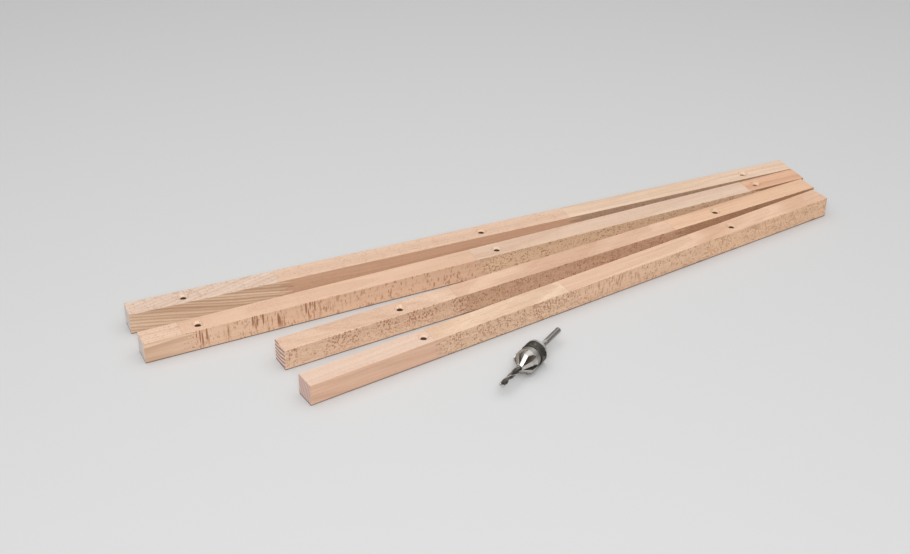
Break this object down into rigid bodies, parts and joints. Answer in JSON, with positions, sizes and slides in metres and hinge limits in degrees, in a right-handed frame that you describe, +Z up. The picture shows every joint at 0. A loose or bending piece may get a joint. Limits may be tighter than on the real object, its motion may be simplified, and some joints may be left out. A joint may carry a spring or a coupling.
{
  "type": "knock-down wooden bar set with drill and countersink",
  "caption": "Square finger-jointed beech bars with countersunk screw holes, lying fanned, with a twist drill that carries a slip-on countersink.",
  "frame": {"origin": "axis of the rear long bar's middle screw hole, on the surface the set lies on", "axes": "+X along the rear long bar towards the ends that lie together, +Z up out of the bars' tops, -Y towards the tool"},
  "size_m": [0.5365, 0.1816, 0.0164],
  "materials": {
    "beech_pale": "planed beech, no finish, pale cream",
    "beech_warm": "planed beech, no finish, warm peach with ray flecks",
    "beech_pink": "planed beech, no finish, pinkish with fine streaks",
    "drill_steel": "dark steam-tempered high-speed steel with bright ground lands",
    "bright_steel": "bright ground tool steel",
    "dark_steel": "burnished turned steel with fine lines round it",
    "screw_steel": "oiled hardened steel"
  },
  "bodies": {
    "rear_long_bar": {"rear_long_bar_stave_1": "beech_pink", "rear_long_bar_stave_2": "beech_warm", "rear_long_bar_stave_3": "beech_pale"},
    "front_long_bar": {"front_long_bar_stave_1": "beech_pink", "front_long_bar_stave_2": "beech_warm", "front_long_bar_stave_3": "beech_pale", "front_long_bar_stave_4": "beech_warm"},
    "rear_short_bar": {"rear_short_bar_stave_1": "beech_warm", "rear_short_bar_stave_2": "beech_pink", "rear_short_bar_stave_3": "beech_pink"},
    "front_short_bar": {"front_short_bar_stave_1": "beech_pink", "front_short_bar_stave_2": "beech_pale", "front_short_bar_stave_3": "beech_pale", "front_short_bar_stave_4": "beech_warm"},
    "drill": {"twist_drill": "drill_steel"},
    "countersink": {"countersink_head": "bright_steel", "clamp_ring": "dark_steel"},
    "grub_screw_front": {"grub_screw_front": "screw_steel"},
    "grub_screw_rear": {"grub_screw_rear": "screw_steel"}
  },
  "joints": [
    {"name": "front_long_bar_lift", "type": "slide", "parent": "rear_long_bar", "child": "front_long_bar", "axis": [0, 0, 1], "range_m": [0, 0.04]},
    {"name": "rear_short_bar_lift", "type": "slide", "parent": "rear_long_bar", "child": "rear_short_bar", "axis": [0, 0, 1], "range_m": [0, 0.04]},
    {"name": "front_short_bar_lift", "type": "slide", "parent": "rear_long_bar", "child": "front_short_bar", "axis": [0, 0, 1], "range_m": [0, 0.04]},
    {"name": "drill_lift", "type": "slide", "parent": "rear_long_bar", "child": "drill", "axis": [0, 0, 1], "range_m": [0, 0.04]},
    {"name": "countersink_slide", "type": "slide", "parent": "drill", "child": "countersink", "axis": [0.8259, 0.5638, 0], "range_m": [-0.018, 0.009]},
    {"name": "grub_screw_front_turn", "type": "hinge", "parent": "countersink", "child": "grub_screw_front", "pos_m": [-0.02349, -0.15142, 0.00953], "axis": [0.5392, -0.7898, 0.2924], "range_deg": [0, 1080]},
    {"name": "grub_screw_rear_turn", "type": "hinge", "parent": "countersink", "child": "grub_screw_rear", "pos_m": [-0.0284, -0.14423, 0.00687], "axis": [-0.5392, 0.7898, -0.2924], "range_deg": [0, 1080]}
  ]
}
